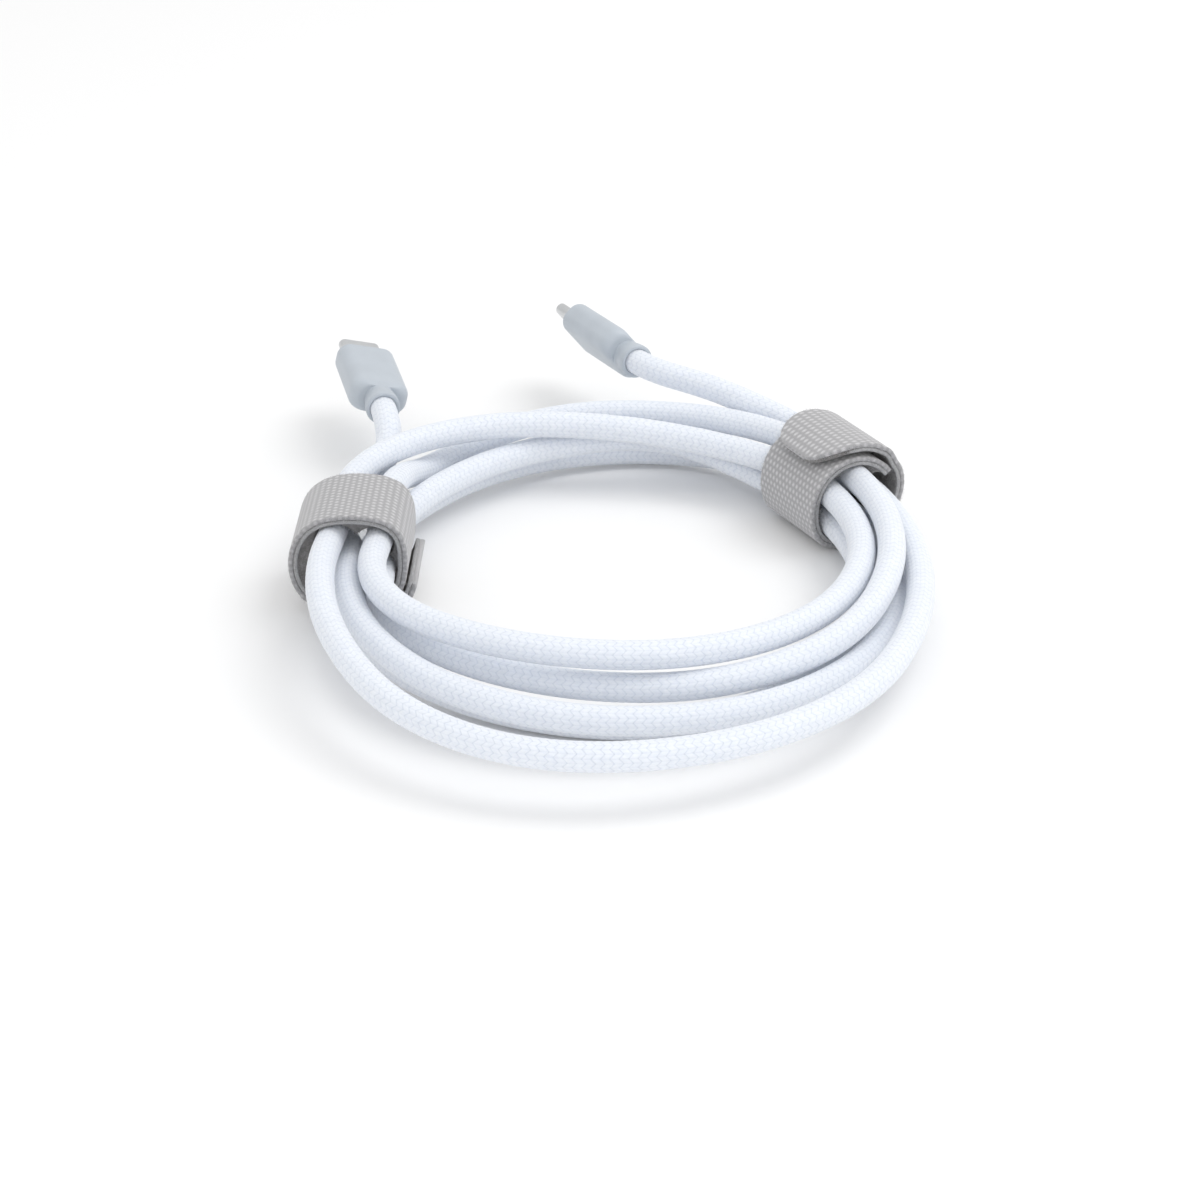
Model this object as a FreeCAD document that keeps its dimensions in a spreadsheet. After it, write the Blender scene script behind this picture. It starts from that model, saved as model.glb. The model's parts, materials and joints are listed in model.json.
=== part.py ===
import FreeCAD, Part
import math
import os
import Sketcher

V = FreeCAD.Vector

# Charging cable: one braided cord in four and a half loose loops, a plug at each end,
# held together by two hook-and-loop ties. Millimetres, +Z up, floor at z = 0.

# Driving sizes
SIZES = {
    "cord_dia": 5.0,
    "coil_end_run": 6.0,
    "lead_end_run": 1.0,
    "frame_shift_x": -0.85,
    "frame_shift_y": -46.42,
    "strap_wide": 18.0,
    "hook_ply": 0.8,
    "loop_ply": 0.9,
    "layer_gap": 0.35,
    "tab_stand_off_left": 0.4,
    "tab_stand_off_right": 1.0,
    "tab_root_gap": 0.3,
    "tab_tip_round": 6.0,
    "neck_mouth_dia": 6.66,
    "neck_edge": 0.25,
    "neck_mouth_length": 1.6,
    "neck_waist_dia": 5.9,
    "neck_taper_end": 4.4,
    "neck_inner_end": 7.2,
    "grip_start": 4.6,
    "grip_length": 20.0,
    "grip_wide": 11.6,
    "grip_high": 6.4,
    "grip_round": 2.6,
    "grip_rear_fillet": 2.0,
    "grip_front_fillet": 1.0,
    "cavity_wide": 9.8,
    "cavity_high": 4.8,
    "cavity_round": 1.8,
    "cavity_start": 7.2,
    "cavity_length": 16.4,
    "core_dia": 3.0,
    "core_length": 4.2,
    "ferrule_dia": 4.2,
    "ferrule_length": 4.0,
    "can_start": 11.2,
    "can_wide": 8.9,
    "can_high": 3.8,
    "can_round": 0.6,
    "can_inner_wide": 8.5,
    "can_inner_high": 3.4,
    "can_inner_round": 0.4,
    "can_rear_wall": 0.2,
    "can_tube_start": 11.4,
    "can_tube_length": 12.0,
    "mould_front_length": 12.4,
    "wire_dia": 0.5,
    "wire_pitch": 0.6,
    "wire_length": 1.6,
    "card_start": 13.0,
    "card_wide": 7.2,
    "card_thick": 0.8,
    "card_length": 6.0,
    "chip_start": 14.0,
    "chip_wide": 2.0,
    "chip_thick": 0.5,
    "chip_length": 2.0,
    "shell_start": 19.2,
    "shell_length": 12.05,
    "shell_wide": 8.25,
    "shell_high": 2.4,
    "shell_round": 1.15,
    "shell_inner_wide": 7.73,
    "shell_inner_high": 1.88,
    "shell_inner_round": 0.9,
    "tongue_start": 19.3,
    "tongue_length": 11.0,
    "tongue_wide": 7.7,
    "tongue_high": 1.68,
    "tongue_round": 0.8,
    "slot_wide": 6.9,
    "slot_high": 1.16,
    "slot_round": 0.1,
    "contact_start": 17.6,
    "contact_length": 12.4,
    "contact_wide": 0.25,
    "contact_thick": 0.15,
    "contact_pitch": 0.5,
    "contact_gap": 0.86,
    "latch_start": 19.6,
    "latch_bridge": 0.6,
    "latch_length": 10.2,
    "latch_wide": 6.8,
    "latch_arm": 0.25,
    "latch_thick": 0.4,
    "spring_start": 24.0,
    "spring_length": 6.0,
    "spring_wide": 5.6,
    "spring_thick": 0.08,
    "spring_gap": 1.7,
}

# Pose of each plug: where the cord enters, heading, pitch and roll in degrees
PLUG_LEFT = (-41.55, 53.8, 13.75, 102.7, 0.7, 14.1)
PLUG_RIGHT = (7.35, 70.5, 16.55, 115.6, -3.7, 51.3)

# Ties: centre, height of the strands' middle, heading of the axis
TIE_LEFT = {"x": -42.0, "y": 2.3, "z": 9.8, "yaw": 88.5}
TIE_RIGHT = {"x": 42.5, "y": 29.7, "z": 8.9, "yaw": 118.5}
TIE_HALF = 9.0
TIP_CUT_DEPTH = 16.0

# Search for the coil's least gap: step, shortest run of cord between two places, farthest pair looked at
GAP_STEP = 2.0
GAP_SKIP = 25.0
GAP_REACH = 9.0

# Where each strand crosses the front and back face of a tie: across, up
LEFT_FRONT = {"E": (-4.85, 4.95), "A": (3.4, 4.2), "C": (-1.25, 0.65), "B": (3.9, -1.3), "D": (0.0, -5.15)}
LEFT_BACK = {"E": (-4.15, 5.25), "A": (3.15, 4.5), "C": (-4.5, -0.65), "B": (4.15, -0.95), "D": (0.45, -5.15)}
RIGHT_FRONT = {"A": (-4.55, 2.0), "B": (0.45, 4.5), "E": (4.4, 0.45), "D": (-4.4, -3.45), "C": (1.1, -4.1)}
RIGHT_BACK = {"A": (-4.8, 1.65), "B": (0.4, 4.4), "E": (4.85, 1.05), "D": (-4.05, -3.75), "C": (1.4, -4.1)}

# Heading of each strand where it crosses a face, seen toward the back of the coil
LEFT_FRONT_HEADING = {"E": 82.0, "C": 85.3, "D": 85.6, "B": 85.8, "A": 79.7}
LEFT_BACK_HEADING = {"E": 88.6, "C": 94.3, "D": 74.5, "B": 74.6, "A": 85.1}
RIGHT_FRONT_HEADING = {"E": 109.7, "C": 111.9, "D": 111.0, "B": 111.1, "A": 110.6}
RIGHT_BACK_HEADING = {"E": 118.0, "C": 123.0, "D": 123.1, "B": 129.5, "A": 137.9}
START_PITCH = 4.3
END_PITCH = 11.9

# Crests of the loops between the ties: x, y, z, heading, pitch
FRONT_CREST = {
    "C": [(0.65, -57.35, 7.55, -1.5, -2.1)],
    "D": [(3.95, -49.95, 2.5, -1.3, 0.0)],
    "B": [(9.9, -47.25, 8.05, -1.7, 2.9)],
    "A": [(5.1, -46.65, 13.7, 5.3, -2.7)],
    "E": [(-2.2, -72.4, 9.5, -2.7, 0.3)],
}
BACK_CREST = {
    "C": [(8.05, 58.2, 2.85, 181.2, 1.0)],
    "D": [(3.1, 51.05, 8.85, 181.5, -4.6)],
    "B": [(4.1, 59.15, 10.6, 178.0, -0.8), (-25.9, 48.6, 7.5, 226.8, -7.6)],
    "A": [(-9.1, 47.1, 13.45, 179.2, 1.0)],
}
# Order of the loops: front slot, and the left slot that the loop comes back to
LOOPS = [("C", "D"), ("D", "B"), ("B", "A"), ("A", "E"), ("E", None)]

# Points of the two free ends between the coil and the plugs
LEAD_LEFT_MID = (-40.9, 36.8, 10.0, 74.9, 8.0)
LEAD_RIGHT_MID = (25.4, 56.65, 15.25, 146.2, 8.7)

# Inner outline of each tie: across, up from the strands' middle
RING_LEFT = [(7.0, 1.2), (6.0, 6.0), (-1.0, 8.2), (-8.1, 6.2), (-10.6, 0.2), (-8.5, -5.6), (-0.4, -7.95), (5.2, -5.3)]
RING_RIGHT = [(7.7, 0.3), (5.5, 4.9), (0.3, 7.3), (-5.5, 5.3), (-7.8, -0.2), (-6.2, -5.45), (0.3, -7.1), (5.6, -5.0)]
# Along the outline, in turns from its right side: inner end, start of the step, root and tip
STRAP_LEFT = {"inner": -0.14, "rise": 0.77, "root": 0.88, "tip": 0.935}
STRAP_RIGHT = {"inner": 0.085, "rise": 0.885, "root": 1.135, "tip": 1.36}

doc = FreeCAD.newDocument("ChargingCable")
sheet = doc.addObject("Spreadsheet::Sheet", "Values")
for row, (alias, number) in enumerate(SIZES.items(), start=1):
    sheet.set("A%d" % row, alias)
    sheet.set("B%d" % row, str(number))
    sheet.setAlias("B%d" % row, alias)
doc.recompute()


def size(alias):
    return float(sheet.get(alias))


def bind(obj, prop, alias):
    obj.setExpression(prop, "Values." + alias)


SHIFT = V(size("frame_shift_x"), size("frame_shift_y"), 0)
CORD_R = size("cord_dia") / 2.0


# Directions and tubes
def direction(heading, pitch=0.0):
    a = math.radians(heading)
    b = math.radians(pitch)
    return V(math.cos(a) * math.cos(b), math.sin(a) * math.cos(b), math.sin(b))


def tie_axes(tie):
    a = math.radians(tie["yaw"])
    axis = V(math.cos(a), math.sin(a), 0)
    across = V(math.sin(a), -math.cos(a), 0)
    return V(tie["x"], tie["y"], tie["z"]) + SHIFT, across, axis


def slot(tie, place, along):
    centre, across, axis = tie_axes(tie)
    return centre + across * place[0] + axis * along + V(0, 0, place[1])


def biarc_joint(p0, t0, p1, t1):
    v = p1 - p0
    t = t0 + t1
    den = 2.0 * (1.0 - t0.dot(t1))
    if den < 1e-9:
        d = v.dot(v) / (4.0 * v.dot(t1))
    else:
        d = (-v.dot(t) + math.sqrt(v.dot(t) ** 2 + den * v.dot(v))) / den
    return (p0 + p1) * 0.5 + (t0 - t1) * (d / 2.0)


def arc_from(p0, t0, p1):
    """Arc that leaves p0 along t0 and ends at p1: its edge and its radius."""
    c = p1 - p0
    n = c - t0 * c.dot(t0)
    if n.Length < 1e-4:
        return Part.LineSegment(p0, p1).toShape(), 1e6
    n.normalize()
    r = c.dot(c) / (2.0 * c.dot(n))
    centre = p0 + n * r
    half = math.atan2(c.dot(n), c.dot(t0))
    mid = centre - n * (r * math.cos(half)) + t0 * (r * math.sin(half))
    return Part.Arc(p0, mid, p1).toShape(), r


def biarcs(nodes):
    edges = []
    radii = []
    for (p0, t0), (p1, t1) in zip(nodes, nodes[1:]):
        joint = biarc_joint(p0, t0, p1, t1)
        first, r0 = arc_from(p0, t0, joint)
        back, r1 = arc_from(p1, t1 * -1.0, joint)
        second = Part.Arc(joint, back.valueAt((back.FirstParameter + back.LastParameter) / 2.0), p1).toShape()
        edges += [first, second]
        radii += [r0, r1]
    return edges, radii


def pipe(edges, start, tangent, radius):
    circle = Part.Wire([Part.makeCircle(radius, start, tangent)])
    shell = Part.BRepOffsetAPI.MakePipeShell(Part.Wire(edges))
    shell.add(circle)
    shell.build()
    shell.makeSolid()
    return shell.shape()


def add_shape(name, shape):
    obj = doc.addObject("Part::Feature", name)
    obj.Label = name
    obj.Shape = shape
    obj.Placement = FreeCAD.Placement()
    parts.append(obj)
    return obj


parts = []

# The coil: from the straight end behind the left tie, loop by loop, to the one behind the right tie
def left_face(face, name):
    table, headings, along = {
        "front": (LEFT_FRONT, LEFT_FRONT_HEADING, -TIE_HALF),
        "back": (LEFT_BACK, LEFT_BACK_HEADING, TIE_HALF),
    }[face]
    pitch = START_PITCH if (face, name) == ("back", "C") else 0.0
    return slot(TIE_LEFT, table[name], along), direction(headings[name], pitch) * -1.0


def right_face(face, name):
    table, headings, along = {
        "front": (RIGHT_FRONT, RIGHT_FRONT_HEADING, -TIE_HALF),
        "back": (RIGHT_BACK, RIGHT_BACK_HEADING, TIE_HALF),
    }[face]
    pitch = END_PITCH if (face, name) == ("back", "E") else 0.0
    return slot(TIE_RIGHT, table[name], along), direction(headings[name], pitch)


def crests(rows):
    return [(V(x, y, z) + SHIFT, direction(h, p)) for x, y, z, h, p in rows]


TAIL = size("coil_end_run")
nodes = [left_face("back", "C")]
for front, back in LOOPS:
    nodes.append(left_face("front", front))
    nodes += crests(FRONT_CREST[front])
    nodes.append(right_face("front", front))
    nodes.append(right_face("back", front))
    if back:
        nodes += crests(BACK_CREST[front])
        nodes.append(left_face("back", back))
coil_start = nodes[0][0] - nodes[0][1] * TAIL
coil_end = nodes[-1][0] + nodes[-1][1] * TAIL
edges, radii = biarcs(nodes)
edges = [Part.LineSegment(coil_start, nodes[0][0]).toShape()] + edges
edges.append(Part.LineSegment(nodes[-1][0], coil_end).toShape())
coil = pipe(edges, coil_start, nodes[0][1], CORD_R)
add_shape("cord_coil", coil)
coil_length = sum(e.Length for e in edges)
print("coil length", round(coil_length, 1), "least radius", round(min(radii), 1),
      "volume ratio", round(coil.Volume / (math.pi * CORD_R ** 2 * coil_length), 4))

# Least gap of the coil to itself: points a step apart, each measured to the stretches between the others
points = []
along = []
run = 0.0
for e in edges:
    count = max(2, int(e.Length / GAP_STEP) + 1)
    for k in range(count):
        u = e.FirstParameter + (e.LastParameter - e.FirstParameter) * k / count
        points.append(e.valueAt(u))
        along.append(run + e.Length * k / count)
    run += e.Length


def to_stretch(p, a, b):
    d = b - a
    t = min(1.0, max(0.0, (p - a).dot(d) / d.dot(d)))
    return p.distanceToPoint(a + d * t)


least = (1e9, None)
for i, p in enumerate(points):
    for j in range(i + 1, len(points) - 1):
        if along[j] - along[i] > GAP_SKIP and p.distanceToPoint(points[j]) < GAP_REACH:
            least = min(least, (to_stretch(p, points[j], points[j + 1]), i))
spot = points[least[1]]
print("least gap of the coil to itself", round(least[0] - 2 * CORD_R, 3), "at", [round(c, 1) for c in spot])


# The free ends: a short straight run, arcs tangent to each other, a short straight run
def lead(name, nodes):
    end = size("lead_end_run")
    first, heading_first = nodes[0]
    last, heading_last = nodes[-1]
    inner = [(first + heading_first * end, heading_first)] + nodes[1:-1] + [(last - heading_last * end, heading_last)]
    arcs, radii = biarcs(inner)
    runs = [Part.LineSegment(first, inner[0][0]).toShape()] + arcs
    runs.append(Part.LineSegment(inner[-1][0], last).toShape())
    solid = pipe(runs, first, heading_first, CORD_R)
    add_shape(name, solid)
    length = sum(e.Length for e in runs)
    print(name, "length", round(length, 1), "radii", [round(r, 1) for r in radii],
          "volume ratio", round(solid.Volume / (math.pi * CORD_R ** 2 * length), 4))
    return length


def plug_pose(pose):
    x, y, z, heading, pitch, roll = pose
    forward = direction(heading, pitch)
    side = V(math.sin(math.radians(heading)), -math.cos(math.radians(heading)), 0)
    upward = side.cross(forward)
    c = math.cos(math.radians(roll))
    s = math.sin(math.radians(roll))
    wide = side * c - upward * s
    thick = forward.cross(wide)
    m = FreeCAD.Matrix(wide.x, thick.x, forward.x, 0,
                       wide.y, thick.y, forward.y, 0,
                       wide.z, thick.z, forward.z, 0,
                       0, 0, 0, 1)
    return FreeCAD.Placement(V(x, y, z) + SHIFT, FreeCAD.Rotation(m)), forward


place_left, forward_left = plug_pose(PLUG_LEFT)
place_right, forward_right = plug_pose(PLUG_RIGHT)
mid_left = crests([LEAD_LEFT_MID])[0]
mid_right = crests([LEAD_RIGHT_MID])[0]
lead_length = lead("lead_left", [(coil_start, nodes[0][1] * -1.0), mid_left, (place_left.Base, forward_left)])
lead_length += lead("lead_right", [(coil_end, nodes[-1][1]), mid_right, (place_right.Base, forward_right)])
print("cord length", round(coil_length + lead_length, 1))


# Plug pieces: bodies along Z from the mouth of the neck, then put in the plug's pose
def plane_of(body, role):
    return [f for f in body.Origin.OriginFeatures if f.Role == role][0]


def new_body(name, placement):
    body = doc.addObject("PartDesign::Body", name)
    body.Label = name
    body.AllowCompound = True
    body.Placement = placement
    parts.append(body)
    return body


def new_sketch(body, height=None, role="XY_Plane"):
    sketch = body.newObject("Sketcher::SketchObject", body.Name + "_sketch")
    sketch.AttachmentSupport = [(plane_of(body, role), "")]
    sketch.MapMode = "FlatFace"
    if height:
        sketch.setExpression(".AttachmentOffset.Base.z", "Values." + height)
    return sketch


def add_round_rect(sketch, wide, high, corner):
    """Rounded rectangle about the origin; its three sizes stay bound to the sheet."""
    a = size(wide) / 2.0
    b = size(high) / 2.0
    r = size(corner)
    n = sketch.GeometryCount
    q = math.pi / 2.0
    axis = V(0, 0, 1)
    sketch.addGeometry(Part.LineSegment(V(-a + r, -b, 0), V(a - r, -b, 0)), False)
    sketch.addGeometry(Part.ArcOfCircle(Part.Circle(V(a - r, -b + r, 0), axis, r), -q, 0), False)
    sketch.addGeometry(Part.LineSegment(V(a, -b + r, 0), V(a, b - r, 0)), False)
    sketch.addGeometry(Part.ArcOfCircle(Part.Circle(V(a - r, b - r, 0), axis, r), 0, q), False)
    sketch.addGeometry(Part.LineSegment(V(a - r, b, 0), V(-a + r, b, 0)), False)
    sketch.addGeometry(Part.ArcOfCircle(Part.Circle(V(-a + r, b - r, 0), axis, r), q, 2 * q), False)
    sketch.addGeometry(Part.LineSegment(V(-a, b - r, 0), V(-a, -b + r, 0)), False)
    sketch.addGeometry(Part.ArcOfCircle(Part.Circle(V(-a + r, -b + r, 0), axis, r), 2 * q, 3 * q), False)
    for k in range(8):
        sketch.addConstraint(Sketcher.Constraint("Tangent", n + k, 2, n + (k + 1) % 8, 1))
    for k in (0, 4):
        sketch.addConstraint(Sketcher.Constraint("Horizontal", n + k))
    for k in (2, 6):
        sketch.addConstraint(Sketcher.Constraint("Vertical", n + k))
    sketch.addConstraint(Sketcher.Constraint("Symmetric", n, 1, n + 4, 1, -1, 1))
    for k in (3, 5):
        sketch.addConstraint(Sketcher.Constraint("Equal", n + 1, n + k))
    for kind, first, second, value, alias in (
            ("DistanceX", (n + 6, 1), (n + 2, 1), 2 * a, wide),
            ("DistanceY", (n, 1), (n + 4, 1), 2 * b, high)):
        index = sketch.addConstraint(Sketcher.Constraint(kind, *first, *second, value))
        sketch.setExpression("Constraints[%d]" % index, "Values." + alias)
    index = sketch.addConstraint(Sketcher.Constraint("Radius", n + 1, r))
    sketch.setExpression("Constraints[%d]" % index, "Values." + corner)


def add_circle(sketch, dia, x=0.0):
    n = sketch.GeometryCount
    sketch.addGeometry(Part.Circle(V(x, 0, 0), V(0, 0, 1), size(dia) / 2.0), False)
    if x:
        sketch.addConstraint(Sketcher.Constraint("PointOnObject", n, 3, -1))
        sketch.addConstraint(Sketcher.Constraint("DistanceX", -1, 1, n, 3, x))
    else:
        sketch.addConstraint(Sketcher.Constraint("Coincident", n, 3, -1, 1))
    index = sketch.addConstraint(Sketcher.Constraint("Diameter", n, size(dia)))
    sketch.setExpression("Constraints[%d]" % index, "Values." + dia)


def add_box(sketch, x, y, wide, high):
    """Plain rectangle with its lower left corner at x, y; sizes bound to the sheet."""
    w = size(wide)
    h = size(high)
    n = sketch.GeometryCount
    corners = [V(x, y, 0), V(x + w, y, 0), V(x + w, y + h, 0), V(x, y + h, 0)]
    for k in range(4):
        sketch.addGeometry(Part.LineSegment(corners[k], corners[(k + 1) % 4]), False)
    for k in range(4):
        sketch.addConstraint(Sketcher.Constraint("Coincident", n + k, 2, n + (k + 1) % 4, 1))
    for k in (0, 2):
        sketch.addConstraint(Sketcher.Constraint("Horizontal", n + k))
    for k in (1, 3):
        sketch.addConstraint(Sketcher.Constraint("Vertical", n + k))
    for kind, pair, value, alias in (("DistanceX", n, w, wide), ("DistanceY", n + 1, h, high)):
        index = sketch.addConstraint(Sketcher.Constraint(kind, pair, 1, pair, 2, value))
        sketch.setExpression("Constraints[%d]" % index, "Values." + alias)
    for kind, value in (("DistanceX", x), ("DistanceY", y)):
        sketch.addConstraint(Sketcher.Constraint(kind, -1, 1, n, 1, value))


def pad(body, sketch, length):
    feature = body.newObject("PartDesign::Pad", body.Name + "_pad")
    feature.Profile = sketch
    feature.Length = size(length)
    bind(feature, "Length", length)
    sketch.Visibility = False
    return feature


def pocket(body, sketch, length):
    """Pocket that cuts forward, toward the plug's tip."""
    feature = body.newObject("PartDesign::Pocket", body.Name + "_pocket")
    feature.Profile = sketch
    feature.Reversed = True
    feature.Length = size(length)
    bind(feature, "Length", length)
    sketch.Visibility = False
    return feature


def fillet_at(body, base, height, radius):
    names = []
    for k, edge in enumerate(base.Shape.Edges):
        if all(abs(v.Z - height) < 1e-4 for v in edge.Vertexes) and abs(edge.CenterOfMass.z - height) < 1e-4:
            names.append("Edge%d" % (k + 1))
    feature = body.newObject("PartDesign::Fillet", body.Name + "_fillet")
    feature.Base = (base, names)
    feature.Radius = size(radius)
    bind(feature, "Radius", radius)
    return feature


def check_cut(before, after, body):
    if after.Shape.Volume > before - 0.01:
        raise ValueError(body.Name + ": a cut took nothing away")


def ring_body(name, placement, start, length, outer, inner):
    """Tube between two closed outlines; three names make a rounded rectangle, one a circle."""
    body = new_body(name, placement)
    sketch = new_sketch(body, start)
    for outline in (outer, inner):
        if outline and len(outline) == 3:
            add_round_rect(sketch, *outline)
        elif outline:
            add_circle(sketch, *outline)
    pad(body, sketch, length)
    return body


def build_plug(side, placement):
    # Grip: solid block, fillets front and rear, then the cavity and its two ways out
    grip = new_body("overmould_" + side, placement)
    sketch = new_sketch(grip, "grip_start")
    add_round_rect(sketch, "grip_wide", "grip_high", "grip_round")
    block = pad(grip, sketch, "grip_length")
    doc.recompute()
    rear = fillet_at(grip, block, size("grip_start"), "grip_rear_fillet")
    doc.recompute()
    front = fillet_at(grip, rear, size("grip_start") + size("grip_length"), "grip_front_fillet")
    doc.recompute()
    volume = front.Shape.Volume
    for start, length, outline in (
            ("cavity_start", "cavity_length", ("cavity_wide", "cavity_high", "cavity_round")),
            (None, "neck_inner_end", ("neck_waist_dia",)),
            ("shell_start", "shell_length", ("shell_wide", "shell_high", "shell_round"))):
        sketch = new_sketch(grip, start)
        if len(outline) == 3:
            add_round_rect(sketch, *outline)
        else:
            add_circle(sketch, *outline)
        cut = pocket(grip, sketch, length)
        doc.recompute()
        check_cut(volume, cut, grip)
        volume = cut.Shape.Volume

    # Neck: turned profile round the cord, flared at its mouth
    neck = new_body("strain_relief_" + side, placement)
    sketch = new_sketch(neck, role="XZ_Plane")
    mouth = size("neck_mouth_dia") / 2.0
    waist = size("neck_waist_dia") / 2.0
    edge = size("neck_edge")
    profile = [(CORD_R, 0), (mouth - edge, 0), (mouth, edge), (mouth, size("neck_mouth_length")),
               (waist, size("neck_taper_end")), (waist, size("neck_inner_end")), (CORD_R, size("neck_inner_end"))]
    count = len(profile)
    for k in range(count):
        a = profile[k]
        b = profile[(k + 1) % count]
        sketch.addGeometry(Part.LineSegment(V(a[0], a[1], 0), V(b[0], b[1], 0)), False)
    for k in range(count):
        sketch.addConstraint(Sketcher.Constraint("Coincident", k, 2, (k + 1) % count, 1))
    half = {"cord": "Values.cord_dia / 2", "mouth": "Values.neck_mouth_dia / 2", "waist": "Values.neck_waist_dia / 2",
            "lip": "Values.neck_mouth_dia / 2 - Values.neck_edge"}
    across = ["cord", "lip", "mouth", "mouth", "waist", "waist", "cord"]
    upward = [None, None, "neck_edge", "neck_mouth_length", "neck_taper_end", "neck_inner_end", "neck_inner_end"]
    for k in range(count):
        index = sketch.addConstraint(Sketcher.Constraint("DistanceX", -1, 1, k, 1, profile[k][0]))
        sketch.setExpression("Constraints[%d]" % index, half[across[k]])
        if upward[k]:
            index = sketch.addConstraint(Sketcher.Constraint("DistanceY", -1, 1, k, 1, profile[k][1]))
            sketch.setExpression("Constraints[%d]" % index, "Values." + upward[k])
        else:
            sketch.addConstraint(Sketcher.Constraint("PointOnObject", k, 1, -1))
    turned = neck.newObject("PartDesign::Revolution", neck.Name + "_turned")
    turned.Profile = sketch
    turned.ReferenceAxis = (sketch, ["V_Axis"])
    turned.Angle = 360.0
    sketch.Visibility = False

    # End of the cord: jacket in the neck, bare core behind it, ferrule on the core
    jacket = ring_body("jacket_end_" + side, placement, None, "neck_inner_end", ("cord_dia",), None)
    sketch = new_sketch(jacket, "neck_inner_end")
    add_circle(sketch, "core_dia")
    pad(jacket, sketch, "core_length")
    ring_body("crimp_ferrule_" + side, placement, "cavity_start", "ferrule_length", ("ferrule_dia",), ("core_dia",))

    # Hard fill: round passage for the ferrule, wide one for the can
    cavity = ("cavity_wide", "cavity_high", "cavity_round")
    can = ("can_wide", "can_high", "can_round")
    mould = ring_body("inner_mould_" + side, placement, "cavity_start", "ferrule_length", cavity, ("ferrule_dia",))
    sketch = new_sketch(mould, "can_start")
    add_round_rect(sketch, *cavity)
    add_round_rect(sketch, *can)
    pad(mould, sketch, "mould_front_length")

    # Steel can: rear wall with the core's hole, then its tube
    shield = ring_body("shield_can_" + side, placement, "can_start", "can_rear_wall", can, ("core_dia",))
    sketch = new_sketch(shield, "can_tube_start")
    add_round_rect(sketch, *can)
    add_round_rect(sketch, "can_inner_wide", "can_inner_high", "can_inner_round")
    pad(shield, sketch, "can_tube_length")

    # Wires, board and chip
    wires = new_body("conductors_" + side, placement)
    sketch = new_sketch(wires, "can_tube_start")
    for k in range(5):
        add_circle(sketch, "wire_dia", (k - 2) * size("wire_pitch"))
    pad(wires, sketch, "wire_length")
    card = new_body("paddle_card_" + side, placement)
    sketch = new_sketch(card, "card_start")
    add_box(sketch, -size("card_wide") / 2.0, -size("card_thick") / 2.0, "card_wide", "card_thick")
    pad(card, sketch, "card_length")
    chip = new_body("marker_chip_" + side, placement)
    sketch = new_sketch(chip, "chip_start")
    add_box(sketch, -size("chip_wide") / 2.0, size("card_thick") / 2.0, "chip_wide", "chip_thick")
    pad(chip, sketch, "chip_length")

    # Mouth: steel shell, plastic carrier, two rows of contacts, latch plate, ground springs
    ring_body("connector_shell_" + side, placement, "shell_start", "shell_length",
              ("shell_wide", "shell_high", "shell_round"), ("shell_inner_wide", "shell_inner_high", "shell_inner_round"))
    ring_body("insulator_" + side, placement, "tongue_start", "tongue_length",
              ("tongue_wide", "tongue_high", "tongue_round"), ("slot_wide", "slot_high", "slot_round"))
    for row, low in (("upper", size("contact_gap") / 2.0), ("lower", -size("contact_gap") / 2.0 - size("contact_thick"))):
        body = new_body("contacts_%s_%s" % (row, side), placement)
        sketch = new_sketch(body, "contact_start")
        for k in range(12):
            add_box(sketch, (k - 5.5) * size("contact_pitch") - size("contact_wide") / 2.0, low,
                    "contact_wide", "contact_thick")
        pad(body, sketch, "contact_length")
    latch = new_body("latch_plate_" + side, placement)
    sketch = new_sketch(latch, "latch_start")
    add_box(sketch, -size("latch_wide") / 2.0, -size("latch_thick") / 2.0, "latch_wide", "latch_thick")
    pad(latch, sketch, "latch_bridge")
    sketch = new_sketch(latch, "latch_start")
    for x in (-size("latch_wide") / 2.0, size("latch_wide") / 2.0 - size("latch_arm")):
        add_box(sketch, x, -size("latch_thick") / 2.0, "latch_arm", "latch_thick")
    pad(latch, sketch, "latch_length")
    springs = new_body("ground_springs_" + side, placement)
    sketch = new_sketch(springs, "spring_start")
    for low in (size("spring_gap") / 2.0, -size("spring_gap") / 2.0 - size("spring_thick")):
        add_box(sketch, -size("spring_wide") / 2.0, low, "spring_wide", "spring_thick")
    pad(springs, sketch, "spring_length")


for side, placement in (("left", place_left), ("right", place_right)):
    build_plug(side, placement)


# Ties: a strap of two plies that runs once round the strands, steps over its own inner end and
# ends in a tab that peels open
def outline(ring):
    curve = Part.BSplineCurve()
    curve.interpolate(Points=[V(u, w, 0) for u, w in ring], PeriodicFlag=True)
    return curve


def strap_points(curve, path, stand_off, offset, first, last, count):
    """Points of one surface of the strap; the layer over the inner end stands off the first one."""
    thick = size("hook_ply") + size("loop_ply")
    whole = curve.length()
    over = 1.0 + path["inner"]
    points = []
    for k in range(count + 1):
        turn = first + (last - first) * k / count
        t = (turn - path["rise"]) / (over - path["rise"])
        t = min(1.0, max(0.0, t))
        lift = (thick + size("layer_gap")) * t * t * (3.0 - 2.0 * t)
        t = (turn - over) / (path["root"] - over)
        t = min(1.0, max(0.0, t))
        lift += (stand_off - size("layer_gap")) * t * t * (3.0 - 2.0 * t)
        u = curve.parameterAtDistance((turn % 1.0) * whole, curve.FirstParameter)
        p = curve.value(u)
        g = curve.tangent(u)[0]
        points.append(p + V(g.y, -g.x, 0) * (offset + lift))
    return points


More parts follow.
